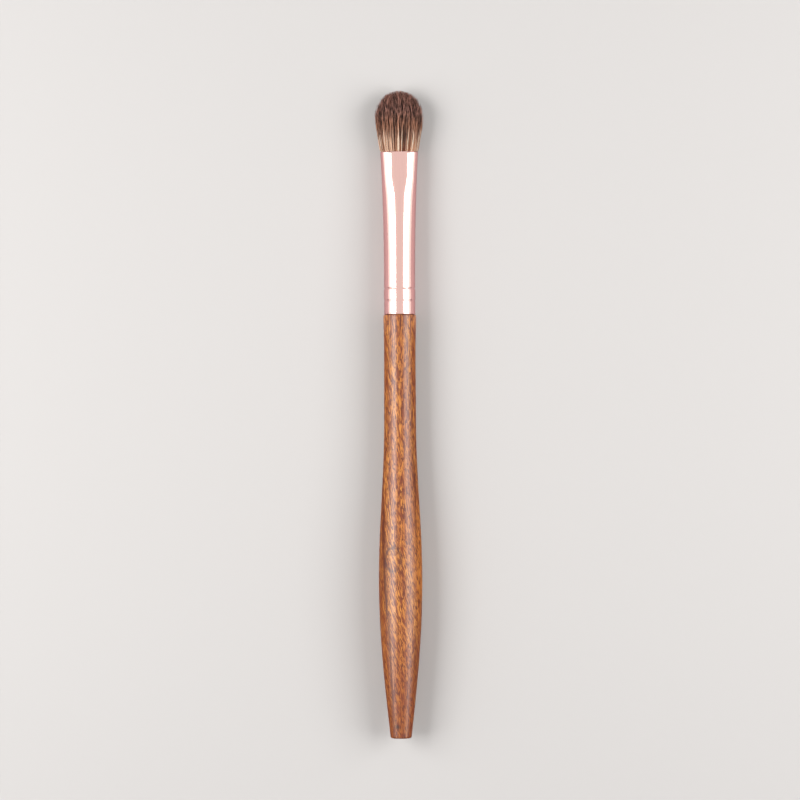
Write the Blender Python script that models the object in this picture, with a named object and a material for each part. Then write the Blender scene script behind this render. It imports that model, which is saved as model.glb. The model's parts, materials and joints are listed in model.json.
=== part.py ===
"""Eye makeup brush: a turned hardwood handle, a pressed metal ferrule and a bundle of hair.

Each piece is modelled upright round the brush's own axis: local +Z runs from the butt end to the hair, local X is
the brush's width and local Y its depth. The finished brush is then laid on a table, hair towards world +Y.
"""

import math
import random

import bmesh
import bpy
from mathutils import Vector

MM = 0.001

# Clearance left between pieces that touch
fit_gap = 0.1 * MM

# Handle: the lengths of its stretches, from the butt end to the shoulder that meets the ferrule
butt_to_swell = 41.5 * MM
swell_to_waist = 42.0 * MM
waist_to_neck = 17.5 * MM
neck_to_shoulder = 10.1 * MM

# Handle: its radius where the stretches meet
butt_radius = 2.75 * MM
swell_radius = 5.72 * MM
waist_radius = 4.2 * MM
neck_radius = 4.13 * MM
shoulder_step = 0.18 * MM
butt_edge_radius = 0.6 * MM
shoulder_edge_radius = 0.15 * MM

# Tenon: the handle's end inside the ferrule, with a shallow relief for glue between two snug stretches
crimp_to_relief = 0.76 * MM
relief_length = 5.4 * MM
tenon_tip_length = 1.4 * MM
tenon_bevel = 0.5 * MM
glue_thickness = 0.25 * MM

# Ferrule: a drawn tube, pressed flat towards its mouth and crimped on the tenon
ferrule_length = 42.8 * MM
ferrule_radius = 4.12 * MM
ferrule_wall = 0.35 * MM
ferrule_edge_radius = 0.1 * MM
crimp_to_flattening = 2.9 * MM
mouth_half_width = 4.99 * MM
mouth_half_depth = 2.98 * MM
press_length = 6.4 * MM
press_fade_length = 7.0 * MM
crimp_to_shoulder = 3.76 * MM
crimp_spacing = 3.23 * MM
crimp_width = 0.9 * MM
crimp_depth = 0.16 * MM

# Hair bundle: its root inside the ferrule, tied with thread and set in resin
hair_sink = 0.2 * MM
tie_start = 8.5 * MM
tie_shoulder = 0.5 * MM
thread_diameter = 0.45 * MM
tie_to_resin = 0.25 * MM
resin_wall = 0.35 * MM
resin_cup_depth = 2.0 * MM
resin_floor = 3.0 * MM

# Hair bundle: the part that stands out of the ferrule
hair_length = 16.0 * MM
belly_height = 9.0 * MM
belly_half_width = 6.35 * MM
belly_half_depth = 4.15 * MM
strand_embed = 0.3 * MM
length_scatter = 0.6 * MM

# Counts
SIDES = 32
OUTER_RING_COUNT = 14
BORE_RING_COUNT = 10
CRIMP_COUNT = 2
THREAD_TURNS = 5
STRAND_COUNT = 360
STRAND_SIDES = 3
SCATTER_SEED = 7

# Exponents of the ferrule's oval: round at the handle, squarest at the press mark, rounder again at the mouth
ROUND_EXPONENT = 2.0
PRESS_EXPONENT = 2.5
MOUTH_EXPONENT = 2.15
# Exponents that crowd the ferrule's rings towards the mouth, and that make the hair open quickly above it
CROWDING_EXPONENT = 1.3
OPENING_EXPONENT = 0.75

# A crimp's outline: (distance from its middle as a share of its width, depth as a share of its depth)
CRIMP_SHARES = ((-0.5, 0.0), (-0.22, 0.55), (0.0, 1.0), (0.14, 0.55), (0.5, 0.0))
# How deep the valleys between the thread's turns are, as a share of its diameter
THREAD_VALLEY_SHARE = 0.3
# Where a strand has its upper two rings, as shares of its height
STRAND_RING_SHARES = (0.34, 0.84)
# How thick a strand is at its root and at the belly, as shares of the strands' pitch there
STRAND_ROOT_SHARE = 0.9
STRAND_BELLY_SHARE = 0.78
# How far the tips bend in over the dome, as a share of the bundle's spread
TIP_BEND_SHARE = 0.3

GOLDEN_ANGLE = math.pi * (3 - math.sqrt(5))
SHARP_ANGLE = math.radians(35)

handle_length = butt_to_swell + swell_to_waist + waist_to_neck + neck_to_shoulder
shoulder_radius = ferrule_radius + shoulder_step
ferrule_bottom = handle_length + fit_gap
mouth_height = ferrule_bottom + ferrule_length
bore_radius = ferrule_radius - ferrule_wall
crimps_end = crimp_to_shoulder + (CRIMP_COUNT - 1) * crimp_spacing + crimp_width / 2
flattening_length = ferrule_length + fit_gap - crimps_end - crimp_to_flattening
relief_start = crimps_end + crimp_to_relief
relief_end = relief_start + relief_length
tenon_length = relief_end + tenon_tip_length


def clear_scene():
    for old in list(bpy.data.objects):
        bpy.data.objects.remove(old, do_unlink=True)


def material(name, colour, roughness, metallic=0.0):
    """A Principled material; the colour is linear RGB."""
    made = bpy.data.materials.new(name)
    made.use_nodes = True
    shader = made.node_tree.nodes["Principled BSDF"]
    shader.inputs["Base Color"].default_value = (*colour, 1.0)
    shader.inputs["Roughness"].default_value = roughness
    shader.inputs["Metallic"].default_value = metallic
    made.diffuse_color = (*colour, 1.0)
    return made


def mix(start, end, share):
    return start + (end - start) * share


def ease(start, end, share):
    """A half cosine wave from start to end."""
    return mix(start, end, (1 - math.cos(math.pi * share)) / 2)


def oval_ring(half_width, half_depth, exponent, height):
    """Points of a superellipse across the axis. Flats, not corners, face along X and Y."""
    points = []
    for i in range(SIDES):
        angle = 2 * math.pi * (i + 0.5) / SIDES
        across, along = math.cos(angle), math.sin(angle)
        x = math.copysign(abs(across) ** (2 / exponent), across) * half_width
        y = math.copysign(abs(along) ** (2 / exponent), along) * half_depth
        points.append(Vector((x, y, height)))
    return points


def round_ring(radius, height):
    return oval_ring(radius, radius, ROUND_EXPONENT, height)


def loft(name, rings, finish, closed=False):
    """A solid through rings of points. A closed one joins its last ring to its first, as a tube's wall does."""
    shape = bmesh.new()
    rows = [[shape.verts.new(point) for point in ring] for ring in rings]
    pairs = list(zip(rows, rows[1:]))
    if closed:
        pairs.append((rows[-1], rows[0]))
    for low, high in pairs:
        for i in range(len(low)):
            following = (i + 1) % len(low)
            shape.faces.new((low[i], low[following], high[following], high[i]))
    if not closed:
        shape.faces.new(reversed(rows[0]))
        shape.faces.new(rows[-1])
    bmesh.ops.recalc_face_normals(shape, faces=shape.faces)
    mesh = bpy.data.meshes.new(name)
    shape.to_mesh(mesh)
    shape.free()
    return place(name, mesh, finish)


def place(name, mesh, finish):
    """Puts a mesh in the scene, smooth but for its real edges."""
    mesh.materials.append(finish)
    mesh.shade_smooth()
    mesh.set_sharp_from_angle(angle=SHARP_ANGLE)
    obj = bpy.data.objects.new(name, mesh)
    bpy.context.scene.collection.objects.link(obj)
    return obj


# Ferrule's form: half width, half depth and squareness at a depth below the mouth


def flattening_share(depth):
    """From 1 at the mouth to 0 where the tube is round. The change is quick at the mouth and fades out."""
    return max(0.0, 1 - depth / flattening_length) ** 2


def half_width_at(depth):
    return mix(ferrule_radius, mouth_half_width, flattening_share(depth))


def half_depth_at(depth):
    return mix(ferrule_radius, mouth_half_depth, flattening_share(depth))


def exponent_at(depth):
    if depth <= press_length:
        return mix(MOUTH_EXPONENT, PRESS_EXPONENT, max(0.0, depth) / press_length)
    fading = min(1.0, (depth - press_length) / press_fade_length)
    return mix(PRESS_EXPONENT, ROUND_EXPONENT, fading)


def ferrule_ring(depth, inset):
    """A ring that lies inset from the ferrule's outer face, at a depth below its mouth."""
    return oval_ring(
        half_width_at(depth) - inset,
        half_depth_at(depth) - inset,
        exponent_at(depth),
        mouth_height - depth,
    )


# Crimps: grooves rolled into the ferrule, which press it into the tenon


def crimp_steps():
    """(distance above the shoulder, groove depth) through the crimps, from the shoulder up."""
    steps = []
    for number in range(CRIMP_COUNT):
        centre = crimp_to_shoulder + number * crimp_spacing
        for width_share, depth_share in CRIMP_SHARES:
            steps.append((centre + width_share * crimp_width, depth_share * crimp_depth))
    return steps


# Handle: turned from one blank, with its tenon


def handle_radius(height):
    """The turned outline, as one curve from swell to swell and neck to neck."""
    if height <= butt_to_swell:
        return mix(butt_radius, swell_radius, math.sin(math.pi / 2 * height / butt_to_swell))
    height -= butt_to_swell
    if height <= swell_to_waist:
        return ease(swell_radius, waist_radius, height / swell_to_waist)
    height -= swell_to_waist
    if height <= waist_to_neck:
        return ease(waist_radius, neck_radius, height / waist_to_neck)
    height -= waist_to_neck
    return ease(neck_radius, shoulder_radius, min(1.0, height / neck_to_shoulder))


def edge_arc(radius, height, edge, steps, upward):
    """Rings that round an edge off. They run from the flat face to the side, or back where upward is set."""
    rings = []
    for i in range(steps + 1):
        angle = math.pi / 2 * i / steps
        inward = edge * (1 - math.sin(angle))
        rise = edge * (1 - math.cos(angle))
        rings.append(round_ring(radius - inward, height - rise if upward else height + rise))
    return rings[::-1] if upward else rings


def handle_rings():
    rings = edge_arc(handle_radius(butt_edge_radius), 0.0, butt_edge_radius, 3, False)
    stretches = ((butt_to_swell, 9), (swell_to_waist, 9), (waist_to_neck, 2), (neck_to_shoulder, 3))
    start = 0.0
    for length, count in stretches:
        for i in range(1, count + 1):
            height = start + length * i / count
            if height < handle_length - shoulder_edge_radius:
                rings.append(round_ring(handle_radius(height), height))
        start += length
    return rings + edge_arc(shoulder_radius, handle_length, shoulder_edge_radius, 2, True)


def tenon_rings():
    snug = bore_radius - fit_gap
    relieved = snug - glue_thickness - fit_gap
    rings = [round_ring(snug, handle_length)]
    for distance, groove in crimp_steps():
        rings.append(round_ring(snug - groove, handle_length + distance))
    for radius, distance in (
        (snug, relief_start),
        (relieved, relief_start),
        (relieved, relief_end),
        (snug, relief_end),
        (snug, tenon_length - tenon_bevel),
        (snug - tenon_bevel, tenon_length),
    ):
        rings.append(round_ring(radius, handle_length + distance))
    return rings


def make_handle(finish):
    return loft("handle", handle_rings() + tenon_rings(), finish)


def make_tenon_glue(finish):
    """The glue that fills the tenon's relief and holds the ferrule."""
    outer = bore_radius - fit_gap
    inner = outer - glue_thickness
    low = handle_length + relief_start + fit_gap
    high = handle_length + relief_end - fit_gap
    corners = ((outer, low), (outer, high), (inner, high), (inner, low))
    return loft("tenon_glue", [round_ring(*corner) for corner in corners], finish, closed=True)


# Ferrule: one thin wall, from the mouth down its outside and back up its bore


def ferrule_depths(count):
    """Depths below the mouth to the tube's round end, with one on the press mark."""
    depths = [flattening_length * (i / count) ** CROWDING_EXPONENT for i in range(1, count + 1)]
    return sorted(depths + [press_length])


def make_ferrule(finish):
    edge = ferrule_edge_radius
    outer = [ferrule_ring(0.0, edge), ferrule_ring(edge, 0.0)]
    outer += [ferrule_ring(depth, 0.0) for depth in ferrule_depths(OUTER_RING_COUNT)]
    bore = [ferrule_ring(0.0, ferrule_wall - edge), ferrule_ring(edge, ferrule_wall)]
    bore += [ferrule_ring(depth, ferrule_wall) for depth in ferrule_depths(BORE_RING_COUNT)]
    for distance, groove in reversed(crimp_steps()):
        height = handle_length + distance
        outer.append(round_ring(ferrule_radius - groove, height))
        bore.append(round_ring(bore_radius - groove, height))
    outer.append(round_ring(ferrule_radius, ferrule_bottom + edge))
    outer.append(round_ring(ferrule_radius - edge, ferrule_bottom))
    bore.append(round_ring(bore_radius, ferrule_bottom))
    return loft("ferrule", outer + bore[::-1], finish, closed=True)


# Hair root: packed hair that fills the ferrule's mouth, drawn in where the thread ties it

thread_start = tie_start + tie_shoulder
thread_length = THREAD_TURNS * thread_diameter
tie_end = thread_start + thread_length + tie_shoulder
seat_inset = ferrule_wall + fit_gap
tied_inset = seat_inset + thread_diameter + fit_gap
foot_inset = seat_inset + resin_wall + fit_gap
resin_top = tie_end + tie_to_resin
root_length = resin_top + resin_cup_depth
cup_floor = root_length + fit_gap
resin_bottom = cup_floor + resin_floor


def make_hair_root(finish):
    depths = [mix(hair_sink, tie_start, share / 5) for share in range(6)]
    rings = [ferrule_ring(depth, seat_inset) for depth in depths]
    rings.append(ferrule_ring(thread_start, tied_inset))
    rings.append(ferrule_ring(thread_start + thread_length, tied_inset))
    rings.append(ferrule_ring(tie_end, foot_inset))
    rings.append(ferrule_ring(root_length, foot_inset))
    return loft("hair_bundle", rings[::-1], finish)


def make_binding_thread(finish):
    """The thread's turns lie side by side, so its outside is a row of ridges."""
    ridges = []
    valley = seat_inset + thread_diameter * THREAD_VALLEY_SHARE
    for turn in range(THREAD_TURNS):
        top = thread_start + turn * thread_diameter
        inset_at_top = valley if turn else seat_inset + thread_diameter / 2
        ridges.append(ferrule_ring(top if turn else top + fit_gap, inset_at_top))
        ridges.append(ferrule_ring(top + thread_diameter / 2, seat_inset))
    low = thread_start + thread_length - fit_gap
    ridges.append(ferrule_ring(low, seat_inset + thread_diameter / 2))
    inner_inset = seat_inset + thread_diameter
    inside = [ferrule_ring(low, inner_inset), ferrule_ring(thread_start + fit_gap, inner_inset)]
    return loft("binding_thread", ridges + inside, finish, closed=True)


def make_resin_plug(finish):
    """A cup of set resin that holds the hair's root in the ferrule."""
    inner_inset = foot_inset - fit_gap
    rings = [ferrule_ring(cup_floor, inner_inset), ferrule_ring(resin_top, inner_inset)]
    for depth in (resin_top, cup_floor, resin_bottom):
        rings.append(ferrule_ring(depth, seat_inset))
    return loft("resin_plug", rings, finish)


# Hair strands: they fan out from the root, widest at the belly, and end on a dome


def strand_pitch(half_depth):
    """The strands' pitch in depth, where they lie closest, because the bundle is flatter than it is wide."""
    return 2 * half_depth / math.sqrt(STRAND_COUNT)


root_radius = STRAND_ROOT_SHARE * strand_pitch(half_depth_at(hair_sink) - seat_inset) / 2
belly_radius = STRAND_BELLY_SHARE * strand_pitch(belly_half_depth) / 2
root_half_width = half_width_at(hair_sink) - seat_inset - root_radius
root_half_depth = half_depth_at(hair_sink) - seat_inset - root_radius


def bundle_spread(height):
    """(half width, half depth) of the fan of strand centres at a height above the mouth."""
    wide, deep = belly_half_width - belly_radius, belly_half_depth - belly_radius
    if height < belly_height:
        opening = math.sin(math.pi / 2 * max(0.0, height) / belly_height) ** OPENING_EXPONENT
        return mix(root_half_width, wide, opening), mix(root_half_depth, deep, opening)
    over = (height - belly_height) / (hair_length - belly_height)
    closing = 1 - TIP_BEND_SHARE * over ** 2
    return wide * closing, deep * closing


def tip_height(reach):
    """Where a strand that lies at this share of the bundle's spread meets the dome."""
    over = 1.0
    for _ in range(4):
        out = reach * (1 - TIP_BEND_SHARE * over ** 2)
        over = math.sqrt(max(0.0, 1 - out ** 2))
    return mix(belly_height, hair_length, over)


def strand_rings(number, scatter):
    """(centre, radius) of a strand's rings. The strands' places fill the bundle evenly, as a sunflower's seeds do."""
    reach = math.sqrt((number + 0.5) / STRAND_COUNT)
    angle = number * GOLDEN_ANGLE
    top = tip_height(reach) - length_scatter * scatter * reach

    def centre(height):
        half_width, half_depth = bundle_spread(height)
        wide, deep = reach * math.cos(angle), reach * math.sin(angle)
        return Vector((wide * half_width, deep * half_depth, mouth_height + height))

    foot = centre(-hair_sink) - Vector((0, 0, strand_embed))
    rings = [(foot, root_radius)]
    rings += [(centre(top * share), belly_radius) for share in STRAND_RING_SHARES]
    return rings, centre(top)


def make_strands(finish):
    """Every strand as one mesh of separate three-sided spikes, to be joined to the root."""
    scatter = random.Random(SCATTER_SEED)
    shape = bmesh.new()
    for number in range(STRAND_COUNT):
        rings, tip_place = strand_rings(number, scatter.random())
        rows = []
        for centre, radius in rings:
            row = []
            for side in range(STRAND_SIDES):
                angle = 2 * math.pi * side / STRAND_SIDES + math.pi / 2
                offset = Vector((math.cos(angle), math.sin(angle), 0)) * radius
                row.append(shape.verts.new(centre + offset))
            rows.append(row)
        tip = shape.verts.new(tip_place)
        shape.faces.new(reversed(rows[0]))
        for low, high in zip(rows, rows[1:]):
            for i in range(STRAND_SIDES):
                following = (i + 1) % STRAND_SIDES
                shape.faces.new((low[i], low[following], high[following], high[i]))
        for i in range(STRAND_SIDES):
            shape.faces.new((rows[-1][i], rows[-1][(i + 1) % STRAND_SIDES], tip))
    mesh = bpy.data.meshes.new("hair_strands")
    shape.to_mesh(mesh)
    shape.free()
    return place("hair_strands", mesh, finish)


def join_strands(root, strands):
    """Fuses the strands to the packed root; the separate strands stay as a hidden helper."""
    strands.hide_render = True
    strands.display_type = "WIRE"
    union = root.modifiers.new("strands", "BOOLEAN")
    union.operation = "UNION"
    union.solver = "EXACT"
    union.object = strands


# Resting pose: the brush lies on its swell and on the belly of its hair


def lower_hull(points):
    """The underside of the points' outline, from left to right."""
    hull = []
    for x, z in sorted(points):
        while len(hull) > 1:
            (x0, z0), (x1, z1) = hull[-2:]
            if (x1 - x0) * (z - z0) - (z1 - z0) * (x - x0) > 0:
                break
            hull.pop()
        hull.append((x, z))
    return hull


def lay_down(pieces):
    """Lays the brush on the ground, hair towards +Y, with the origin on the ground under its middle."""
    outline = {(v.co.z, -v.co.y) for piece in pieces for v in piece.data.vertices}
    middle = (min(outline)[0] + max(outline)[0]) / 2
    hull = lower_hull(outline)
    rear, front = next(pair for pair in zip(hull, hull[1:]) if pair[1][0] >= middle)
    lean = math.atan2(front[1] - rear[1], front[0] - rear[0])
    turned = [
        (x * math.cos(lean) + z * math.sin(lean), z * math.cos(lean) - x * math.sin(lean))
        for x, z in outline
    ]
    low_x, high_x = min(turned)[0], max(turned)[0]
    stand = bpy.data.objects.new("brush_axis", None)
    bpy.context.scene.collection.objects.link(stand)
    stand.rotation_euler = (-math.pi / 2 - lean, 0, 0)
    stand.location = (0, -(low_x + high_x) / 2, -min(z for _, z in turned))
    for piece in pieces:
        piece.parent = stand
    return stand


def build():
    clear_scene()
    wood = material("wood", (0.36, 0.12, 0.04), 0.38)
    rose_metal = material("rose_metal", (0.79, 0.5, 0.43), 0.16, metallic=1.0)
    hair = material("hair", (0.16, 0.075, 0.045), 0.6)
    thread = material("thread", (0.75, 0.7, 0.6), 0.9)
    resin = material("resin", (0.5, 0.33, 0.12), 0.25)
    glue = material("glue", (0.75, 0.68, 0.5), 0.4)
    root = make_hair_root(hair)
    strands = make_strands(hair)
    join_strands(root, strands)
    pieces = [
        make_handle(wood),
        make_tenon_glue(glue),
        make_ferrule(rose_metal),
        make_binding_thread(thread),
        make_resin_plug(resin),
        root,
        strands,
    ]
    lay_down(pieces)


build()
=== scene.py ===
"""The looks of an eye makeup brush on a pale table: turned hardwood, rose metal and soft brown hair."""

import json
import math

import bmesh
import bpy
import numpy as np
from mathutils import Matrix, Vector


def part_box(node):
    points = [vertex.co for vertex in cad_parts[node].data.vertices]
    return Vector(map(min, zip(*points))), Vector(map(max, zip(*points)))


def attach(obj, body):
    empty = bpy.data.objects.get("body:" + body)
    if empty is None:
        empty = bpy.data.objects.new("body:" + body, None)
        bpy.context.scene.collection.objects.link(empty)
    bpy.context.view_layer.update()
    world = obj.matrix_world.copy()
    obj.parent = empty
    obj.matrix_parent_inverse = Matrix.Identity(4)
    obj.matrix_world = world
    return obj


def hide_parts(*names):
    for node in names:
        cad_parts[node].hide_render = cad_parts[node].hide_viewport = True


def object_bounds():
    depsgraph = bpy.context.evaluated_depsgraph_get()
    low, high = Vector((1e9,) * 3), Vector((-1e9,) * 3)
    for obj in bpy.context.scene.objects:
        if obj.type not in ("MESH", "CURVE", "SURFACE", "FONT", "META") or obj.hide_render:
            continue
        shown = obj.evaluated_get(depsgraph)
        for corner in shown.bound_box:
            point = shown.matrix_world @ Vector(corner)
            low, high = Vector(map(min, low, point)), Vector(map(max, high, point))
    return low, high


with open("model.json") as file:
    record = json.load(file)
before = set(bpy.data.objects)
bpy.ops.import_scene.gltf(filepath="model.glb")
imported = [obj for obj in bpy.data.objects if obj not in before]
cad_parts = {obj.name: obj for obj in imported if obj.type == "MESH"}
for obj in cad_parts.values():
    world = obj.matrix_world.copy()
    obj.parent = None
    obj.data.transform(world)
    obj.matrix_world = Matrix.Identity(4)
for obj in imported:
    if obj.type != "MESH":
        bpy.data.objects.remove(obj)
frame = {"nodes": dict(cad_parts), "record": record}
cad_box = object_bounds()


# Camera
# The photograph looks straight down on the brush, with its hair at the top of the picture. One of its 800
# pixels is 0.2627 mm at the height of the brush's axis, and its middle lies a little above the brush's own.
MM = 0.001
PICTURE_PIXELS = 800
PIXEL = 0.2627 * MM
MIDDLE_ABOVE_BRUSH = 14.4 * PIXEL
CAMERA_HEIGHT = 900 * MM
CAMERA_ROLL = math.radians(-0.2)
SENSOR_MM = 36

camera = bpy.data.objects.new("camera", bpy.data.cameras.new("camera"))
camera.data.sensor_width = SENSOR_MM
camera.data.lens = SENSOR_MM * CAMERA_HEIGHT / (PICTURE_PIXELS * PIXEL)
camera.location = (0, MIDDLE_ABOVE_BRUSH, CAMERA_HEIGHT + cad_box[1].z / 2)
camera.rotation_euler.z = CAMERA_ROLL
bpy.context.scene.collection.objects.link(camera)
bpy.context.scene.camera = camera
bpy.context.scene.view_settings.view_transform = "Standard"


# Handle
# One blank of reddish tropical hardwood, turned to a narrow flat butt, a long swell and a thin neck, then
# dipped in satin lacquer. The brush leans a little as it lies, so each piece is made upright and laid down.
SIDES = 96
CIRCLE = 2
SHARP_ANGLE = math.radians(50)
BUTT_TO_SWELL = 41.5 * MM
SWELL_TO_WAIST = 42.0 * MM
WAIST_TO_NECK = 17.5 * MM
NECK_TO_SHOULDER = 10.1 * MM
HANDLE_LENGTH = BUTT_TO_SWELL + SWELL_TO_WAIST + WAIST_TO_NECK + NECK_TO_SHOULDER
BUTT_RADIUS = 2.73 * MM
SWELL_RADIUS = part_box("handle")[1].x
WAIST_RADIUS = 4.18 * MM
NECK_RADIUS = 4.12 * MM
SHOULDER_RADIUS = 4.28 * MM
BUTT_EDGE = 0.5 * MM
BUTT_EDGE_STEPS = 6
SHOULDER_EDGE = 0.2 * MM
SHOULDER_EDGE_STEPS = 4
PROFILE_START = 1.5 * MM
PROFILE_STEP = 1.0 * MM
TENON_RADIUS = 3.65 * MM
TENON_LENGTH = 15.0 * MM
TENON_BEVEL = 0.5 * MM
RELIEF_RADIUS = 3.3 * MM
RELIEF_START = 8.2 * MM
RELIEF_END = 13.6 * MM

butt_mount = next(mount for mount in frame["record"]["mounts"] if mount["name"] == "butt_face")
axis = -Vector(butt_mount["axis"]).normalized()
width = Vector((1, 0, 0))
turned = Matrix((width, axis.cross(width), axis)).transposed().to_4x4()
laid = Matrix.Translation(butt_mount["pos_m"]) @ turned


def colour(code):
    """Linear RGBA from an sRGB hex code."""
    channels = [int(code[i:i + 2], 16) / 255 for i in (1, 3, 5)]
    return (*[c / 12.92 if c <= 0.04045 else ((c + 0.055) / 1.055) ** 2.4 for c in channels], 1.0)


def new_material(name):
    made = bpy.data.materials.new(name)
    made.use_nodes = True
    made.node_tree.nodes.remove(made.node_tree.nodes["Principled BSDF"])
    return made


def add(material, kind, inputs, **settings):
    """Adds a shader node with its settings. Its inputs are a tuple from the first socket on, or a dict by
    socket, and each is a value or another node's output to link."""
    made = material.node_tree.nodes.new("ShaderNode" + kind)
    for name, value in settings.items():
        setattr(made, name, value)
    for socket, value in inputs.items() if isinstance(inputs, dict) else enumerate(inputs):
        if isinstance(value, bpy.types.NodeSocket):
            material.node_tree.links.new(value, made.inputs[socket])
        else:
            made.inputs[socket].default_value = value
    return made


def finish_material(material, surface):
    """Links the surface shader to the material's output."""
    output = material.node_tree.nodes["Material Output"]
    material.node_tree.links.new(surface.outputs[0], output.inputs["Surface"])
    return material


def on_brush(material):
    """Places in millimetres on the brush: X across it, Y down through it, Z along it from the butt end."""
    place = add(material, "TexCoord", {}).outputs["Object"]
    placed = {"Vector": place, "Location": laid.translation, "Rotation": laid.to_euler()}
    place = add(material, "Mapping", placed, vector_type="TEXTURE").outputs[0]
    return add(material, "VectorMath", {0: place, "Scale": 1 / MM}, operation="SCALE").outputs[0]


def noise_at(material, place, size, detail, roughness=0.5):
    """Noise whose grains have a size in millimetres across, through and along the brush."""
    grains = add(material, "VectorMath", (place, size), operation="DIVIDE").outputs[0]
    pattern = {"Vector": grains, "Scale": 1.0, "Detail": detail, "Roughness": roughness}
    return add(material, "TexNoise", pattern).outputs


def drifted(material, place, size, reach):
    """Places that noise of a size in millimetres has pushed about, by up to half the reach to each side."""
    push = noise_at(material, place, size, detail=2.0)["Color"]
    push = add(material, "VectorMath", (push, (0.5, 0.5, 0.5)), operation="SUBTRACT").outputs[0]
    push = add(material, "VectorMath", (push, reach), operation="MULTIPLY").outputs[0]
    return add(material, "VectorMath", (place, push), operation="ADD").outputs[0]


def wound(material, place, turn, straight_height):
    """Places turned round the axis on the way up it, ever less up to the height where they run straight."""
    height = add(material, "SeparateXYZ", (place,)).outputs[2]
    slowed = (height, -turn / straight_height / 2, turn)
    slowed = add(material, "Math", slowed, operation="MULTIPLY_ADD").outputs[0]
    angle = add(material, "Math", (height, slowed), operation="MULTIPLY").outputs[0]
    winding = {"Vector": place, "Angle": angle}
    return add(material, "VectorRotate", winding, rotation_type="Z_AXIS").outputs[0]


def distance(material, place, middle, size):
    """How far places are from a middle, in a size of its own to each side."""
    off = add(material, "VectorMath", (place, middle), operation="SUBTRACT").outputs[0]
    off = add(material, "VectorMath", (off, size), operation="DIVIDE").outputs[0]
    return add(material, "VectorMath", (off,), operation="LENGTH").outputs["Value"]


def oval(half_width, half_depth, exponent, height):
    """A ring of points across the axis: a superellipse, which is a circle or an ellipse at exponent 2."""
    ring = []
    for i in range(SIDES):
        angle = 2 * math.pi * i / SIDES
        across, along = math.cos(angle), math.sin(angle)
        ring.append((
            math.copysign(abs(across) ** (2 / exponent), across) * half_width,
            math.copysign(abs(along) ** (2 / exponent), along) * half_depth,
            height,
        ))
    return ring


def skin(rings, closed=False):
    """A smooth mesh through rings of points, capped at both ends, or joined end to end if it is closed."""
    shape = bmesh.new()
    rows = [[shape.verts.new(point) for point in ring] for ring in rings]
    for low, high in zip(rows, rows[1:] + ([rows[0]] if closed else [])):
        for i in range(SIDES):
            following = (i + 1) % SIDES
            shape.faces.new((low[i], low[following], high[following], high[i]))
    if not closed:
        shape.faces.new(rows[0])
        shape.faces.new(rows[-1])
    bmesh.ops.recalc_face_normals(shape, faces=shape.faces)
    mesh = bpy.data.meshes.new("skin")
    shape.to_mesh(mesh)
    shape.free()
    mesh.shade_smooth()
    mesh.set_sharp_from_angle(angle=SHARP_ANGLE)
    return mesh


def lay(name, mesh, material):
    """Lays a piece on the brush's axis. It rides with the brush's one body."""
    mesh.transform(laid)
    mesh.materials.append(material)
    piece = bpy.data.objects.new(name, mesh)
    bpy.context.scene.collection.objects.link(piece)
    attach(piece, "root")
    return piece


def mix(start, end, share):
    return start + (end - start) * share


def ease(start, end, share):
    """A half cosine wave from start to end."""
    return mix(start, end, (1 - math.cos(math.pi * share)) / 2)


def handle_radius(height):
    if height <= BUTT_TO_SWELL:
        return mix(BUTT_RADIUS, SWELL_RADIUS, math.sin(math.pi / 2 * height / BUTT_TO_SWELL))
    height -= BUTT_TO_SWELL
    if height <= SWELL_TO_WAIST:
        return ease(SWELL_RADIUS, WAIST_RADIUS, height / SWELL_TO_WAIST)
    height -= SWELL_TO_WAIST
    if height <= WAIST_TO_NECK:
        return ease(WAIST_RADIUS, NECK_RADIUS, height / WAIST_TO_NECK)
    return ease(NECK_RADIUS, SHOULDER_RADIUS, (height - WAIST_TO_NECK) / NECK_TO_SHOULDER)


def rounded(radius, height, edge, steps, upward):
    """(radius, height) pairs round an edge, in the order that they come up the handle."""
    pairs = []
    for i in range(steps + 1):
        turn = math.pi / 2 * i / steps
        early = edge * (1 - math.sin(turn))
        late = edge * (1 - math.cos(turn))
        pairs.append((radius - late, height - early) if upward else (radius - early, height + late))
    return pairs


outline = rounded(handle_radius(BUTT_EDGE), 0, BUTT_EDGE, BUTT_EDGE_STEPS, upward=False)
for height in np.arange(PROFILE_START, HANDLE_LENGTH - 2 * SHOULDER_EDGE, PROFILE_STEP):
    outline.append((handle_radius(height), height))
outline += rounded(SHOULDER_RADIUS, HANDLE_LENGTH, SHOULDER_EDGE, SHOULDER_EDGE_STEPS, upward=True)
tenon = (
    (TENON_RADIUS, 0),
    (TENON_RADIUS, RELIEF_START),
    (RELIEF_RADIUS, RELIEF_START),
    (RELIEF_RADIUS, RELIEF_END),
    (TENON_RADIUS, RELIEF_END),
    (TENON_RADIUS, TENON_LENGTH - TENON_BEVEL),
    (TENON_RADIUS - TENON_BEVEL, TENON_LENGTH),
)
outline += [(radius, HANDLE_LENGTH + up) for radius, up in tenon]

# Lacquered hardwood: orange-brown fibres between thin dark rings, and dark pores that slant, because the
# fibres wind through the blank. The rings lean, because it was sawn a little askew. A smooth satin coat
# lies over them and draws long soft highlights. Sizes are in millimetres across, through and along the
# brush, and angles in radians. Pores and streaks are drawn wider than they are, to show.
RING_SPACING_MM = 8.4
PITH_MM = (-34.7, 2.0, 0.0)
RING_LEAN = 0.045
RING_DRIFT_MM = (7.0, 7.0, 20.0)
RING_DRIFT_REACH_MM = (1.4, 1.4, 0.0)
FIBRE_DRIFT_MM = (22.0, 22.0, 38.0)
FIBRE_DRIFT_REACH_MM = (5.5, 5.5, 0.0)
FIBRE_TURN_PER_MM = 0.065
STRAIGHT_HEIGHT_MM = 130
STREAK_MM = (0.36, 0.36, 3.0)
PORE_MM = (0.3, 0.3, 1.3)
TINT_MM = (2.2, 2.2, 26.0)
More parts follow.
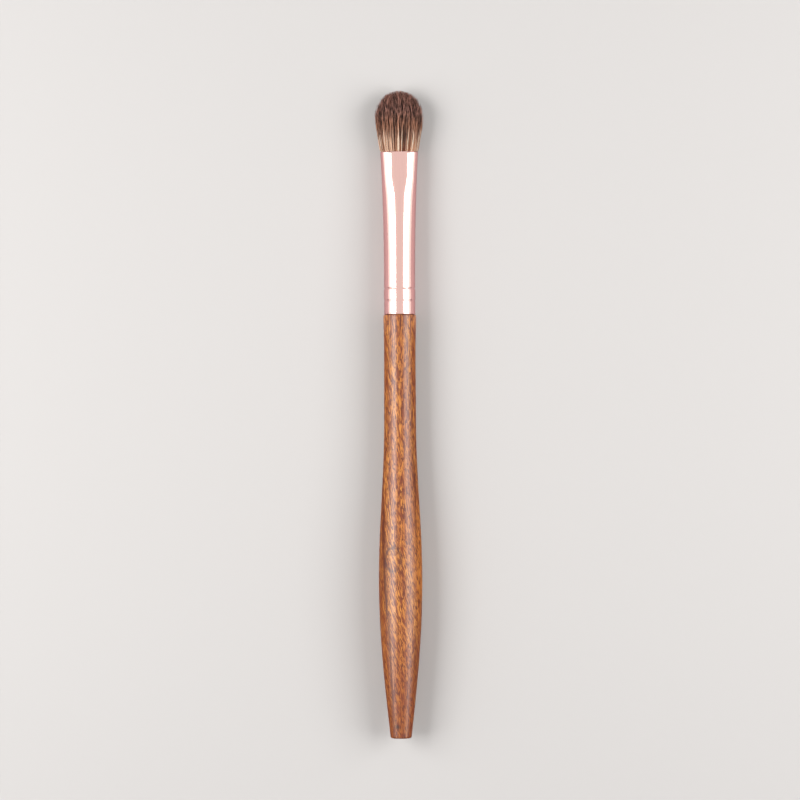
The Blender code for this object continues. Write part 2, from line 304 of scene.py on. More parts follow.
# Each pattern changes between these two values of its noise, or of the growth of one year.
STREAK_SHOWS = (0.4, 0.6)
TINT_SHOWS = (0.38, 0.62)
PORE_SHOWS = (0.535, 0.595)
LATE_SHOWS = (0.5, 1.0)
RING_LINE_SHOWS = (0.91, 0.97)
LATE_STRENGTH = 0.22
PORE_STRENGTH = 0.95
PORE_DEPTH = 0.02 * MM
PORE_BUMP = 0.3
# How much of a ring's line is left, from dark to pale streaks and from orange to redder wood.
LINE_LEFT_BY_STREAK = (1.0, 0.45)
LINE_LEFT_BY_TINT = (0.35, 1.0)
ORANGE_EARLY_WOOD = colour("#CE8638")
RED_EARLY_WOOD = colour("#B86E2C")
DARK_STREAK = colour("#783411")
LATE_WOOD = colour("#7C3D12")
RING_LINE = colour("#4A1C0A")
PORE_SHADE = colour("#622608")
# Marks in the wood: where the middle of each is, how far it reaches, its colour and how strong it is. They
# are a darker butt end, a pin knot in it, a dark patch on the top just under the ferrule, a dark vein in
# four pieces down the left of the swell, a pale streak down its right and a darker patch on the right by
# the butt end. A mark fades over shares of its reach.
MARKS = (
    ((0.0, -3.0, 0.0), (9.0, 9.0, 20.0), "#702806", 0.4),
    ((-1.0, -3.1, 3.1), (0.75, 0.9, 0.8), "#341206", 0.9),
    ((0.17, -4.2, 109.1), (0.25, 0.6, 1.8), "#3A1206", 1.0),
    ((-4.6, -3.0, 52.5), (0.26, 4.0, 6.0), "#4A1608", 0.9),
    ((-4.32, -3.6, 45.5), (0.26, 4.0, 6.2), "#4A1608", 0.9),
    ((-4.05, -3.9, 40.0), (0.26, 4.0, 5.2), "#4A1608", 0.9),
    ((-3.72, -4.2, 35.5), (0.26, 4.0, 3.6), "#4A1608", 0.9),
    ((5.1, -2.8, 46.0), (1.8, 5.0, 17.0), "#D88428", 0.5),
    ((3.9, -2.0, 20.0), (1.0, 5.0, 10.0), "#642A0E", 0.5),
)
MARK_FADES = (0.4, 1.2)
# A thin loop in the grain of the swell, which the streaks break up. Its line fades over shares of its reach.
LOOP_MIDDLE_MM = (-2.0, -5.2, 47.0)
LOOP_REACH_MM = (2.1, 3.5, 3.1)
LOOP_LINE_FADES = (0.02, 0.24)
LOOP_SHADE = colour("#4E2012")

wood = new_material("lacquered_hardwood")
in_mm = on_brush(wood)
drifting = drifted(wood, in_mm, RING_DRIFT_MM, RING_DRIFT_REACH_MM)
leaning = {"Vector": drifting, "Location": [-middle for middle in PITH_MM], "Rotation": (0, RING_LEAN, 0)}
from_pith = add(wood, "Mapping", leaning).outputs[0]
from_pith = add(wood, "VectorMath", (from_pith, (1.0, 1.0, 0.0)), operation="MULTIPLY").outputs[0]
age = add(wood, "VectorMath", (from_pith,), operation="LENGTH").outputs["Value"]
age = add(wood, "Math", (age, RING_SPACING_MM), operation="DIVIDE").outputs[0]
year = add(wood, "Math", (age,), operation="FRACT").outputs[0]

grain = wound(wood, in_mm, FIBRE_TURN_PER_MM, STRAIGHT_HEIGHT_MM)
grain = drifted(wood, grain, FIBRE_DRIFT_MM, FIBRE_DRIFT_REACH_MM)
streak = noise_at(wood, grain, STREAK_MM, detail=3.0, roughness=0.6)["Fac"]
streak = add(wood, "MapRange", (streak, *STREAK_SHOWS)).outputs[0]
tint = noise_at(wood, grain, TINT_MM, detail=1.0)["Fac"]
tint = add(wood, "MapRange", (tint, *TINT_SHOWS)).outputs[0]
pore = noise_at(wood, grain, PORE_MM, detail=1.0, roughness=0.4)["Fac"]
pore = add(wood, "MapRange", (pore, *PORE_SHOWS), interpolation_type="SMOOTHSTEP").outputs[0]

early = {0: tint, 6: ORANGE_EARLY_WOOD, 7: RED_EARLY_WOOD}
early = add(wood, "Mix", early, data_type="RGBA").outputs[2]
fibres = add(wood, "Mix", {0: streak, 6: DARK_STREAK, 7: early}, data_type="RGBA").outputs[2]
late = add(wood, "MapRange", (year, *LATE_SHOWS), interpolation_type="SMOOTHSTEP").outputs[0]
late = add(wood, "Math", (late, LATE_STRENGTH), operation="MULTIPLY").outputs[0]
layered = add(wood, "Mix", {0: late, 6: fibres, 7: LATE_WOOD}, data_type="RGBA").outputs[2]
left_by_tint = add(wood, "MapRange", (tint, 0.0, 1.0, *LINE_LEFT_BY_TINT)).outputs[0]
left_by_streak = add(wood, "MapRange", (streak, 0.0, 1.0, *LINE_LEFT_BY_STREAK)).outputs[0]
left = add(wood, "Math", (left_by_streak, left_by_tint), operation="MULTIPLY").outputs[0]
line = add(wood, "MapRange", (year, *RING_LINE_SHOWS), interpolation_type="SMOOTHSTEP").outputs[0]
line = add(wood, "Math", (line, left), operation="MULTIPLY").outputs[0]
layered = add(wood, "Mix", {0: line, 6: layered, 7: RING_LINE}, data_type="RGBA").outputs[2]
for middle, size, shade, strength in MARKS:
    mark = (distance(wood, in_mm, middle, size), *MARK_FADES, strength, 0.0)
    mark = add(wood, "MapRange", mark).outputs[0]
    layered = add(wood, "Mix", {0: mark, 6: layered, 7: colour(shade)}, data_type="RGBA").outputs[2]
dark = add(wood, "Math", (pore, PORE_STRENGTH), operation="MULTIPLY").outputs[0]
layered = add(wood, "Mix", {0: dark, 6: layered, 7: PORE_SHADE}, data_type="RGBA").outputs[2]
off = distance(wood, drifting, LOOP_MIDDLE_MM, LOOP_REACH_MM)
off = add(wood, "Math", (off, 1.0), operation="SUBTRACT").outputs[0]
off = add(wood, "Math", (off,), operation="ABSOLUTE").outputs[0]
dark = add(wood, "MapRange", (off, *LOOP_LINE_FADES, 1.0, 0.0)).outputs[0]
dark = add(wood, "Math", (dark, left_by_streak), operation="MULTIPLY").outputs[0]
wood_colour = add(wood, "Mix", {0: dark, 6: layered, 7: LOOP_SHADE}, data_type="RGBA").outputs[2]
relief = {"Height": pore, "Strength": PORE_BUMP, "Distance": -PORE_DEPTH}
relief = add(wood, "Bump", relief).outputs[0]
finish_material(wood, add(wood, "BsdfPrincipled", {
    "Base Color": wood_colour,
    "Roughness": 0.5,
    "IOR": 1.5,
    "Specular IOR Level": 0.1,
    "Normal": relief,
    "Coat Weight": 1.0,
    "Coat Roughness": 0.29,
    "Coat IOR": 1.5,
}))

handle = lay("turned_handle", skin([oval(r, r, CIRCLE, h) for r, h in outline]), wood)
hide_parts("handle")


# Ferrule
# A seamless tube, drawn from thin metal, anodised pale rose and polished. It is pressed flat towards its
# mouth, with a faint mark where the press ended, and rolled into the tenon by two grooves above a small
# turned lip.
FIT_GAP = 0.1 * MM
FERRULE_BOTTOM = HANDLE_LENGTH + FIT_GAP
FERRULE_LENGTH = 42.8 * MM
MOUTH = FERRULE_BOTTOM + FERRULE_LENGTH
TUBE_RADIUS = 4.1 * MM
TUBE_WALL = 0.35 * MM
MOUTH_HALF_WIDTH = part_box("ferrule")[1].x
MOUTH_HALF_DEPTH = 2.96 * MM
MOUTH_EDGE = 0.1 * MM
MOUTH_EDGE_SHARE = 0.3
FLATTENING_LENGTH = 32.4 * MM
PRESS_LENGTH = 6.4 * MM
PRESS_FADE = 5.0 * MM
PRESS_MARK_DEPTH = 0.035 * MM
PRESS_MARK_WIDTH = 0.16 * MM
PRESS_MARK_REACH = 0.4 * MM
PRESS_MARK_STEPS = 8
# How square the tube is at its mouth and where the press ended.
MOUTH_EXPONENT = 2.2
PRESS_EXPONENT = 2.5
# Each groove is steeper on the side of the mouth.
GROOVE_HEIGHTS = (3.66 * MM, 6.93 * MM)
GROOVE_DEPTHS = (0.075 * MM, 0.095 * MM)
GROOVE_WIDTH = 0.34 * MM
GROOVE_STEEPNESS_BELOW = 2
GROOVE_STEEPNESS_ABOVE = 6
BARREL_SWELL = 0.05 * MM
LIP_HEIGHT = 0.45 * MM
LIP_SWELL = 0.05 * MM
LIP_EDGE = 0.08 * MM
WIDE_STEP = 0.5 * MM
FINE_STEP = 0.05 * MM
MARK_TO_WIDE_STEP = 0.6 * MM


def rolled_in(height):
    """How far the tube's wall lies in at a height above the ferrule's lower end."""
    inward = 0.0
    for middle, depth in zip(GROOVE_HEIGHTS, GROOVE_DEPTHS):
        off = (height - middle) / GROOVE_WIDTH
        steepness = GROOVE_STEEPNESS_ABOVE if off > 0 else GROOVE_STEEPNESS_BELOW
        inward += depth * math.exp(-off * off * steepness)
    low, high = GROOVE_HEIGHTS
    if low < height < high:
        inward -= BARREL_SWELL * math.sin(math.pi * (height - low) / (high - low))
    if height < LIP_HEIGHT:
        inward -= LIP_SWELL * math.sin(math.pi * height / LIP_HEIGHT)
    return inward


def ferrule_ring(depth, inset):
    """A ring that lies inset from the ferrule's outer face, at a depth below its mouth."""
    flat = max(0.0, 1 - depth / FLATTENING_LENGTH) ** 2
    if depth < PRESS_LENGTH:
        exponent = mix(MOUTH_EXPONENT, PRESS_EXPONENT, depth / PRESS_LENGTH)
    else:
        exponent = mix(PRESS_EXPONENT, CIRCLE, min(1.0, (depth - PRESS_LENGTH) / PRESS_FADE))
    inset += rolled_in(FERRULE_LENGTH - depth)
    inset += PRESS_MARK_DEPTH * math.exp(-((depth - PRESS_LENGTH) / PRESS_MARK_WIDTH) ** 2)
    return oval(
        mix(TUBE_RADIUS, MOUTH_HALF_WIDTH, flat) - inset,
        mix(TUBE_RADIUS, MOUTH_HALF_DEPTH, flat) - inset,
        exponent,
        MOUTH - depth,
    )


flattened = list(np.arange(WIDE_STEP, PRESS_LENGTH - PRESS_MARK_REACH, WIDE_STEP))
flattened += list(PRESS_LENGTH + np.arange(-PRESS_MARK_STEPS, PRESS_MARK_STEPS + 1) * FINE_STEP)
flattened += list(np.arange(PRESS_LENGTH + MARK_TO_WIDE_STEP, FLATTENING_LENGTH, WIDE_STEP))
rolled = list(np.arange(FLATTENING_LENGTH, FERRULE_LENGTH - FINE_STEP, FINE_STEP))
edge = MOUTH_EDGE_SHARE * MOUTH_EDGE
outside = [ferrule_ring(0, MOUTH_EDGE), ferrule_ring(edge, edge), ferrule_ring(MOUTH_EDGE, 0)]
outside += [ferrule_ring(depth, 0) for depth in flattened + rolled]
outside += [ferrule_ring(FERRULE_LENGTH, LIP_EDGE)]
bore = [ferrule_ring(depth, TUBE_WALL) for depth in [FERRULE_LENGTH, *flattened[::-2]]]
bore += [ferrule_ring(MOUTH_EDGE, TUBE_WALL), ferrule_ring(0, TUBE_WALL - MOUTH_EDGE)]

# Polished, rose-anodised metal: a clear mirror with a pink tint, a little softened by faint lines along the
# tube from its drawing. The lines are drawn wider than they are, to show.
DRAW_LINE_MM = (0.3, 0.3, 30.0)
DRAW_LINE_SHOWS = (0.35, 0.65)
METAL_ROUGHNESS = (0.1, 0.16)
PALE_ROSE = colour("#ECC3BB")
DEEP_ROSE = colour("#E6BCB4")

rose_metal = new_material("polished_rose_metal")
lines = noise_at(rose_metal, on_brush(rose_metal), DRAW_LINE_MM, detail=2.0)["Fac"]
roughness = add(rose_metal, "MapRange", (lines, *DRAW_LINE_SHOWS, *METAL_ROUGHNESS)).outputs[0]
rose = add(rose_metal, "Mix", {0: lines, 6: PALE_ROSE, 7: DEEP_ROSE}, data_type="RGBA").outputs[2]
finish_material(rose_metal, add(rose_metal, "BsdfPrincipled", {
    "Base Color": rose,
    "Metallic": 1.0,
    "Roughness": roughness,
}))

ferrule = lay("drawn_ferrule", skin(outside + bore, closed=True), rose_metal)
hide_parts("ferrule")


# Hair
# Several thousand soft natural hairs, cupped so that their own fine tips make the dome. Their roots are
# packed, tied and set in resin in the ferrule. They bulge over its edge, open to the belly and hang in
# wavy locks.
HAIR_COUNT = 7000
LOCK_COUNT = 1400
PIECE_COUNT = 4
SEED = 11
# A hair tapers over its last part, to a share of its diameter. It is drawn thicker than it is, to fill
# the head.
HAIR_SIDES = 3
HAIR_DIAMETER = 0.08 * MM
TAPER_START = 0.8
TIP_SHARE = 0.25
FOOT_HEIGHTS = np.array((-1.5, -0.1, 0.3, 0.8)) * MM
RING_SHARES = np.array((0.16, 0.3, 0.4, 0.48, 0.55, 0.61, 0.67, 0.73, 0.79, 0.85, 0.9, 0.95, 1.0))
# The form of the head, with (half width, half depth) of the outermost hairs.
HAIR_LENGTH = 16.0 * MM
BELLY_HEIGHT = 8.8 * MM
BELLY_SPREAD = np.array((6.2, 3.98)) * MM
MOUTH_SPREAD = np.array((4.98, 2.95)) * MM
BORE_SPREAD = np.array((4.52, 2.5)) * MM
EDGE_BULGE = 0.45 * MM
DOME_BEND = 0.5
DOME_FULLNESS = 2.2
DOME_DROP = 0.2 * MM
DOME_ROUNDS = 12
DOME_STEP = 0.6
TABLE_CLEARANCE = 0.05 * MM
# How the hairs gather in locks, lean and wave. Jitters are shares of the usual gap between hairs or locks.
HAIR_JITTER = 0.35
LOCK_JITTER = 0.3
LOCK_PULL = 0.85
LOCK_PULL_RISE = 0.8
LOCK_LEAN = 0.65 * MM
HAIR_LEAN = 0.09 * MM
WAVE_LENGTH = 6.0 * MM
LOCK_WAVE = 0.25 * MM
HAIR_WAVE = 0.04 * MM
HAIR_PHASE_SHARE = 0.2
LENGTH_SCATTER = 1.2 * MM
INNER_SCATTER_SHARE = 0.15
LOCK_SCATTER = 4.0 * MM
# Every eighth hair strays a little out of the head.
STRAY_EVERY = 8
STRAY_RISE = 0.15 * MM
STRAY_SPREAD = 0.045
# A tone is 0 for the darkest hairs and 1 for the palest.
TONE_RANGE = (-0.25, 1.25)
TONE_LIMITS = (0.02, 0.97)
HAIR_TONE_SHARE = 0.22
TIP_PALENESS_AND_HIGHLIGHT = 0.6
TIP_LIFT_RANGE = (-0.3, 1)
TIP_LIFT_START = 0.8
BAND_LIFT = 0.45
BAND_LENGTH = 2.4 * MM
BAND_SHOWS = (0.3, 0.6)
PAINTED_DEPTH_SHADE = 0.4
SHADE_DEPTH = 0.12
SHADE_FADE = 0.1
# The block of roots that closes the mouth, and its waist where it is tied.
ROOT_TOP = 0.6 * MM
ROOT_SEAT = TUBE_WALL + 0.1 * MM
ROOT_TIE = ROOT_SEAT + 0.55 * MM
ROOT_DEPTHS = (8.5 * MM, 9.0 * MM, 11.25 * MM, 11.75 * MM, 14.0 * MM)
ROOT_RINGS = 12


def sunflower(count):
    """Evenly spread places in a disc of radius 1."""
    number = np.arange(count)
    reach = np.sqrt((number + 0.5) / count)
    angle = number * math.pi * (3 - math.sqrt(5))
    return np.stack((reach * np.cos(angle), reach * np.sin(angle)), axis=1)


def spread(height):
    """(half width, half depth) of the outermost hairs at heights above the mouth."""
    up = np.clip(height / BELLY_HEIGHT, 0, 1)[..., None]
    opened = mix(MOUTH_SPREAD, BELLY_SPREAD, (up + np.sin(up * math.pi / 2)) / 2)
    over = np.clip((height - BELLY_HEIGHT) / (HAIR_LENGTH - BELLY_HEIGHT), 0, 1)[..., None]
    closed = 1 - DOME_BEND * (1 - (1 - over ** DOME_FULLNESS) ** (1 / DOME_FULLNESS))
    out = np.clip(height / EDGE_BULGE, 0, 1)[..., None]
    return mix(BORE_SPREAD, opened * closed, np.sin(out * math.pi / 2))


dice = np.random.default_rng(SEED)
spots = sunflower(HAIR_COUNT) + dice.normal(0, HAIR_JITTER / math.sqrt(HAIR_COUNT), (HAIR_COUNT, 2))
spots /= np.maximum(1, np.linalg.norm(spots, axis=1))[:, None]
locks = sunflower(LOCK_COUNT) + dice.normal(0, LOCK_JITTER / math.sqrt(LOCK_COUNT), (LOCK_COUNT, 2))
lock_of = np.argmin(np.linalg.norm(spots[:, None] - locks[None], axis=2), axis=1)
lean = dice.normal(0, LOCK_LEAN, (LOCK_COUNT, 2))[lock_of] + dice.normal(0, HAIR_LEAN, (HAIR_COUNT, 2))
wave = dice.normal(0, LOCK_WAVE, (LOCK_COUNT, 2))[lock_of] + dice.normal(0, HAIR_WAVE, (HAIR_COUNT, 2))
phase = dice.random(LOCK_COUNT)[lock_of] + HAIR_PHASE_SHARE * dice.random(HAIR_COUNT)
phase *= 2 * math.pi


def path_at(height):
    """Where each hair is across the brush, at heights of its own above the mouth."""
    along = np.clip(height / HAIR_LENGTH, 0, 1)[..., None]
    spot = mix(spots[:, None], locks[lock_of][:, None], LOCK_PULL * along ** LOCK_PULL_RISE)
    swing = np.sin(2 * math.pi * height / WAVE_LENGTH + phase[:, None])[..., None]
    return spot * spread(height) + lean[:, None] * along ** 2 + wave[:, None] * swing * along


# Each hair ends where its path meets the dome, which is found in a few rounds, or a little short of it.
top = np.full(HAIR_COUNT, BELLY_HEIGHT)
for _ in range(DOME_ROUNDS):
    out = np.linalg.norm(path_at(top[:, None])[:, 0] / BELLY_SPREAD, axis=-1)
    dome = (1 - np.minimum(out, 1) ** DOME_FULLNESS) ** (1 / DOME_FULLNESS)
    top = mix(top, mix(BELLY_HEIGHT, HAIR_LENGTH, dome), DOME_STEP)
reach = np.linalg.norm(spots, axis=1)
scatter_share = mix(INNER_SCATTER_SHARE, 1, reach)
short = DOME_DROP + LENGTH_SCATTER * dice.random(HAIR_COUNT) ** 3 * scatter_share
short += LOCK_SCATTER * dice.random(LOCK_COUNT)[lock_of] ** 2 * reach
stray = np.arange(HAIR_COUNT) % STRAY_EVERY == 0
top += np.where(stray, STRAY_RISE, -short)
foot = np.broadcast_to(FOOT_HEIGHTS, (HAIR_COUNT, len(FOOT_HEIGHTS)))
height = np.concatenate((foot, top[:, None] * RING_SHARES), axis=1)
path = path_at(height)
path /= np.maximum(1, np.linalg.norm(path / spread(height), axis=-1, keepdims=True))
path[stray] *= 1 + STRAY_SPREAD * np.clip(height / top[:, None], 0, 1)[stray][..., None] ** 2

# Locks differ in tone, and most have lighter ends, partly a paler colour and partly a painted highlight. In
# the upper part each is banded along its length. Hairs that lie deep in the bundle are darkened with painted
# shade, except at their ends.
lock_tone = dice.random(LOCK_COUNT)[lock_of]
hair_tone = dice.random(HAIR_COUNT)
tone = mix(*TONE_RANGE, mix(lock_tone, hair_tone, HAIR_TONE_SHARE))
# Painted highlight, in part: most locks get lighter ends.
paler_tip_and_highlight = TIP_PALENESS_AND_HIGHLIGHT * dice.uniform(*TIP_LIFT_RANGE, LOCK_COUNT)[lock_of]
band_phase = dice.random(LOCK_COUNT)[lock_of]
band = np.sin(2 * math.pi * height / BAND_LENGTH + 2 * math.pi * band_phase[:, None])
band *= np.clip((height / HAIR_LENGTH - BAND_SHOWS[0]) / (BAND_SHOWS[1] - BAND_SHOWS[0]), 0, 1)
along = height / top[:, None]
at_tip = np.clip((along - TIP_LIFT_START) / (1 - TIP_LIFT_START), 0, 1)
tone = tone[:, None] + paler_tip_and_highlight[:, None] * at_tip + BAND_LIFT * band
# Painted shade: hairs deep in the bundle are darkened.
deep = 1 - np.linalg.norm(path / spread(height), axis=-1)
tone -= PAINTED_DEPTH_SHADE * np.clip(deep / SHADE_DEPTH, 0, 1) * np.clip((1 - along) / SHADE_FADE, 0, 1)
tone = np.clip(tone, *TONE_LIMITS)

turn = dice.random(HAIR_COUNT) * 2 * math.pi
corner = turn[:, None] + np.arange(HAIR_SIDES) * 2 * math.pi / HAIR_SIDES
offset = np.stack((np.cos(corner), np.sin(corner)), axis=-1) * HAIR_DIAMETER / 2
taper = np.clip((1 - RING_SHARES) / (1 - TAPER_START), 0, 1) ** 0.5
taper = np.concatenate((np.ones(len(FOOT_HEIGHTS)), mix(TIP_SHARE, 1, taper)))
sides = path[:, :, None] + offset[:, None] * taper[:, None, None]
level = np.broadcast_to((MOUTH + height)[:, :, None, None], (*sides.shape[:3], 1))
points = np.concatenate((sides, level), axis=-1)

# The table holds the lowest hairs up.
down = -np.array(laid)[2]
below_table = np.maximum(0, points @ down[:3] + down[3] + TABLE_CLEARANCE)
points[..., 1] -= below_table

# Soft brown natural hair: red-brown, gold and cream where it leaves the metal, reddish brown in the middle
# and dusky at its fine tips. Pale hairs keep the colours of the root further up. A strand carries its tone
# (with the painted shade and highlight in it) and its place along the brush, also as a UV map for baking
# its colours.
STRAND_MAP_WIDTH = 0.004
PLACE_LIMIT = 0.99
PALE_ROOT_REACH = 0.2
ROOT_FADES = (-0.04, 0.26)
TIP_SHOWS = (0.4, 0.7)
GOLD_TONES = (0.0, 0.55)
CREAM_TONES = (0.45, 0.9)
DARK_ROOT = colour("#6A3626")
GOLD_ROOT = colour("#CF8C64")
CREAM_ROOT = colour("#F8E0C8")
DARK_MIDDLE = colour("#381C12")
PALE_MIDDLE = colour("#C58A6C")
DARK_TIP = colour("#120704")
PALE_TIP = colour("#C48B7A")

hair = new_material("soft_brown_hair")
strand = add(hair, "Attribute", {}, attribute_name="strand").outputs["Vector"]
strand = add(hair, "SeparateXYZ", (strand,)).outputs
held = add(hair, "Math", (strand[0], PALE_ROOT_REACH), operation="MULTIPLY").outputs[0]
held = add(hair, "Math", (strand[1], held), operation="SUBTRACT").outputs[0]
past_root = add(hair, "MapRange", (held, *ROOT_FADES), interpolation_type="SMOOTHSTEP").outputs[0]
at_tip = add(hair, "MapRange", (strand[1], *TIP_SHOWS), interpolation_type="SMOOTHSTEP").outputs[0]
golden = add(hair, "MapRange", (strand[0], *GOLD_TONES)).outputs[0]
creamy = add(hair, "MapRange", (strand[0], *CREAM_TONES)).outputs[0]
root = add(hair, "Mix", {0: golden, 6: DARK_ROOT, 7: GOLD_ROOT}, data_type="RGBA").outputs[2]
root = add(hair, "Mix", {0: creamy, 6: root, 7: CREAM_ROOT}, data_type="RGBA").outputs[2]
middle = add(hair, "Mix", {0: strand[0], 6: DARK_MIDDLE, 7: PALE_MIDDLE}, data_type="RGBA").outputs[2]
tip = add(hair, "Mix", {0: strand[0], 6: DARK_TIP, 7: PALE_TIP}, data_type="RGBA").outputs[2]
whole = add(hair, "Mix", {0: past_root, 6: root, 7: middle}, data_type="RGBA").outputs[2]
whole = add(hair, "Mix", {0: at_tip, 6: whole, 7: tip}, data_type="RGBA").outputs[2]
finish_material(hair, add(hair, "BsdfPrincipled", {
    "Base Color": whole,
    "Roughness": 0.5,
    "IOR": 1.55,
    "Specular IOR Level": 0.25,
}))


def hair_mesh(points, tone, place):
    """A mesh of strands, from points by strand, ring and side, and a tone and a place for each ring."""
    strands, rings, sides = points.shape[:3]
    index = np.arange(strands * rings * sides).reshape(strands, rings, sides)
    low, high = index[:, :-1], index[:, 1:]
    walls = np.stack((low, np.roll(low, -1, axis=2), np.roll(high, -1, axis=2), high), axis=-1)
    walls = walls.reshape(-1, 4)
    ends = np.concatenate((index[:, 0, ::-1], index[:, -1]))
    corners = np.concatenate((walls.ravel(), ends.ravel()))
    mesh = bpy.data.meshes.new("hair")
    mesh.vertices.add(index.size)
    mesh.vertices.foreach_set("co", points.ravel())
    mesh.loops.add(corners.size)
    mesh.loops.foreach_set("vertex_index", corners)
    starts = np.concatenate((np.arange(len(walls)) * 4, walls.size + np.arange(len(ends)) * sides))
    mesh.polygons.add(len(starts))
    mesh.polygons.foreach_set("loop_start", starts)
    mesh.update(calc_edges=True)
    mesh.shade_smooth()
    facts = np.zeros((*points.shape[:3], 3))
    facts[..., 0] = tone[:, :, None] + np.arange(sides) * STRAND_MAP_WIDTH
    facts[..., 1] = place[:, :, None] + (np.arange(sides) == 1) * STRAND_MAP_WIDTH
    mesh.attributes.new("strand", "FLOAT_VECTOR", "POINT").data.foreach_set("vector", facts.ravel())
    mesh.uv_layers.new(name="OFBake").data.foreach_set("uv", facts.reshape(-1, 3)[corners, :2].ravel())
    return mesh


place = np.clip(height / HAIR_LENGTH, 0.0, PLACE_LIMIT)
for number in range(PIECE_COUNT):
    part = slice(number, None, PIECE_COUNT)
    tuft = lay(f"hair_{number + 1}", hair_mesh(points[part], tone[part], place[part]), hair)
    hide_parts("hair_bundle")

packed_depths = np.linspace(ROOT_TOP, ROOT_DEPTHS[0], ROOT_RINGS)
root_rings = [ferrule_ring(depth, ROOT_SEAT) for depth in packed_depths]
root_rings += [ferrule_ring(depth, ROOT_TIE) for depth in ROOT_DEPTHS[1:]]
packed = lay("packed_hair_root", skin(root_rings[::-1]), hair)
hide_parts("hair_bundle")


# Hidden pieces
# The thread that ties the hair's root, the resin that sets it, and the glue in the tenon's relief show only
# when the brush is taken apart. They keep the solids' own shapes.
SPECK_HEIGHT = 0.02 * MM
SPECK_BUMP = 0.3


def speckled(name, low, high, size_mm, roughness):
    """A material of two near colours in specks of a real size."""
    material = new_material(name)
    place = add(material, "TexCoord", {}).outputs["Object"]
    specks = {"Vector": place, "Scale": 1 / (size_mm * MM), "Detail": 2.0}
    specks = add(material, "TexNoise", specks).outputs["Fac"]
    mottled = {0: specks, 6: colour(low), 7: colour(high)}
    mottled = add(material, "Mix", mottled, data_type="RGBA").outputs[2]
    relief = {"Height": specks, "Strength": SPECK_BUMP, "Distance": SPECK_HEIGHT}
    relief = add(material, "Bump", relief).outputs[0]
    surface = {"Base Color": mottled, "Roughness": roughness, "Normal": relief}
    return finish_material(material, add(material, "BsdfPrincipled", surface))


# Undyed cotton is dull and a little uneven, set epoxy is amber and glossy, and dried wood glue is cream with
# a soft shine.
hidden = {
    "binding_thread": speckled("spun_cotton", "#CFC7B4", "#ECE6D8", size_mm=0.15, roughness=0.9),
    "resin_plug": speckled("set_epoxy", "#A8823F", "#C9A562", size_mm=1.2, roughness=0.2),
    "tenon_glue": speckled("set_wood_glue", "#D9CFB2", "#EDE5CE", size_mm=0.6, roughness=0.45),
}
for name, material in hidden.items():
    node = frame["nodes"][name]
    node.data.materials.clear()
    node.data.materials.append(material)


# Table and light
# A pale matt table in a pale room. A reflector curves down to the table on each side, brightest in its upper
# half, which draws the white bands on the metal and the soft ones on the lacquer. A dim softbox hangs above.
# Sizes are in metres.
TABLE_LENGTH = 6.0
TABLE_WIDTH = 1.22
REFLECTOR_RADIUS = 0.6
REFLECTOR_MIDDLE = 0.035
TOP_LENGTH = 0.4
LOW_LENGTH = 0.6
LOW_START = 48
# Where each panel starts and ends, in degrees from straight up, and its radiance, where 1 is white. The
# panels from LOW_START on are longer.
LEFT_PANELS = ((28.5, 40, 8.0), (40, 48, 7.4), (48, 58, 6.0), (58, 72, 1.9), (72, 84, 1.0), (84, 89.5, 0.6))
RIGHT_PANELS = ((29.5, 40, 4.8), (40, 48, 5.8), (48, 66, 5.0), (66, 78, 1.1), (78, 89.5, 0.65))
ROOF_HEIGHT = 1.3
ROOF_SIZE = 1.6
ROOF_LENGTH = 3.6
ROOF_RADIANCE = 0.3


def softbox(name, start, end, length, radiance):
    """A flat softbox between two points, which is as bright as its radiance on its lower side."""
    lamp = bpy.data.lights.new(name, "AREA")
    lamp.shape = "RECTANGLE"
    lamp.size = (end - start).length
    lamp.size_y = length
    lamp.energy = radiance * math.pi * lamp.size * lamp.size_y
    hung = bpy.data.objects.new(name, lamp)
    across = (end - start).normalized()
    along = Vector((0, 1, 0))
    faced = Matrix((across, along, across.cross(along))).transposed().to_4x4()
    hung.matrix_world = Matrix.Translation((start + end) / 2) @ faced
    hung.visible_camera = False
    bpy.context.scene.collection.objects.link(hung)


for side, sign, panels in (("left", -1, LEFT_PANELS), ("right", 1, RIGHT_PANELS)):
    for number, (start, end, radiance) in enumerate(panels):
        ends = []
        for turn in (math.radians(start), math.radians(end)):
            out = sign * math.sin(turn) * REFLECTOR_RADIUS
            ends.append(Vector((out, REFLECTOR_MIDDLE, math.cos(turn) * REFLECTOR_RADIUS)))
        ends.sort(key=lambda point: point.x)
        length = LOW_LENGTH if start >= LOW_START else TOP_LENGTH
        softbox(f"{side}_reflector_{number + 1}", *ends, length, radiance)
roof = Vector((ROOF_SIZE / 2, 0, ROOF_HEIGHT))
softbox("roof_softbox", roof * Vector((-1, 1, 1)), roof, ROOF_LENGTH, ROOF_RADIANCE)

table = bpy.data.objects.new("table", bpy.data.meshes.new("table"))
half_width = TABLE_WIDTH / 2
half_length = TABLE_LENGTH / 2
corners = [
    (-half_width, -half_length, 0),
    (half_width, -half_length, 0),
    (half_width, half_length, 0),
    (-half_width, half_length, 0),
]
table.data.from_pydata(corners, [], [(0, 1, 2, 3)])
bpy.context.scene.collection.objects.link(table)

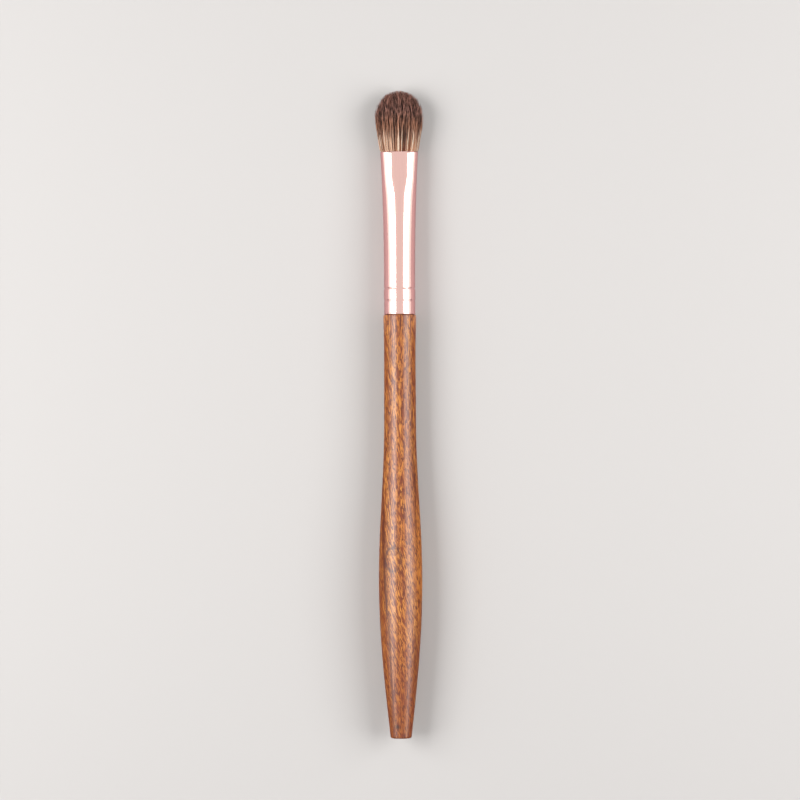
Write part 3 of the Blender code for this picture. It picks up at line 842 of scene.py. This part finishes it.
# A matt, pale table top. Its sides lie close to the reflectors, and are a little darker so that they don't
# glare. To mirror rays it is plum by the wood and a greyish pink by the metal, so that the edges of the
# lacquer and the metal stay deep and look round.
MIDDLE_ENDS = 120 * MM
SIDES_START = 400 * MM
WOOD_ENDS = 19 * MM
METAL_STARTS = 26 * MM
PALE_MIDDLE_GREY = colour("#C2BFBD")
PALE_SIDE_GREY = colour("#B0ADAB")
PLUM_BY_WOOD = colour("#6A4C54")
PINK_BY_METAL = colour("#BCA6AA")

matt = new_material("matt_pale_table")
place = add(matt, "TexCoord", {}).outputs["Object"]
place = add(matt, "SeparateXYZ", (place,)).outputs
by_metal = (place[1], WOOD_ENDS, METAL_STARTS)
by_metal = add(matt, "MapRange", by_metal, interpolation_type="SMOOTHSTEP").outputs[0]
mirrored = {0: by_metal, 6: PLUM_BY_WOOD, 7: PINK_BY_METAL}
mirrored = add(matt, "Mix", mirrored, data_type="RGBA").outputs[2]
aside = add(matt, "Math", (place[0],), operation="ABSOLUTE").outputs[0]
aside = (aside, MIDDLE_ENDS, SIDES_START)
aside = add(matt, "MapRange", aside, interpolation_type="SMOOTHSTEP").outputs[0]
pale = add(matt, "Mix", {0: aside, 6: PALE_MIDDLE_GREY, 7: PALE_SIDE_GREY}, data_type="RGBA").outputs[2]
mirroring = add(matt, "LightPath", {}).outputs["Is Glossy Ray"]
top = add(matt, "Mix", {0: mirroring, 6: pale, 7: mirrored}, data_type="RGBA").outputs[2]
finish_material(matt, add(matt, "BsdfPrincipled", {"Base Color": top, "Roughness": 0.9}))
table.data.materials.append(matt)

# The room is pale where it is seen or mirrored, and gives only a little light.
ROOM_GREY = colour("#D9D7D5")
ROOM_LIGHT = 0.2

room = bpy.data.worlds.new("pale_room")
room.use_nodes = True
bpy.context.scene.world = room
seen = add(room, "LightPath", {}).outputs
seen = add(room, "Math", (seen["Is Camera Ray"], seen["Is Glossy Ray"]), operation="MAXIMUM").outputs[0]
strength = add(room, "MapRange", (seen, 0.0, 1.0, ROOM_LIGHT, 1.0)).outputs[0]
background = room.node_tree.nodes["Background"]
background.inputs["Color"].default_value = ROOM_GREY
room.node_tree.links.new(strength, background.inputs["Strength"])
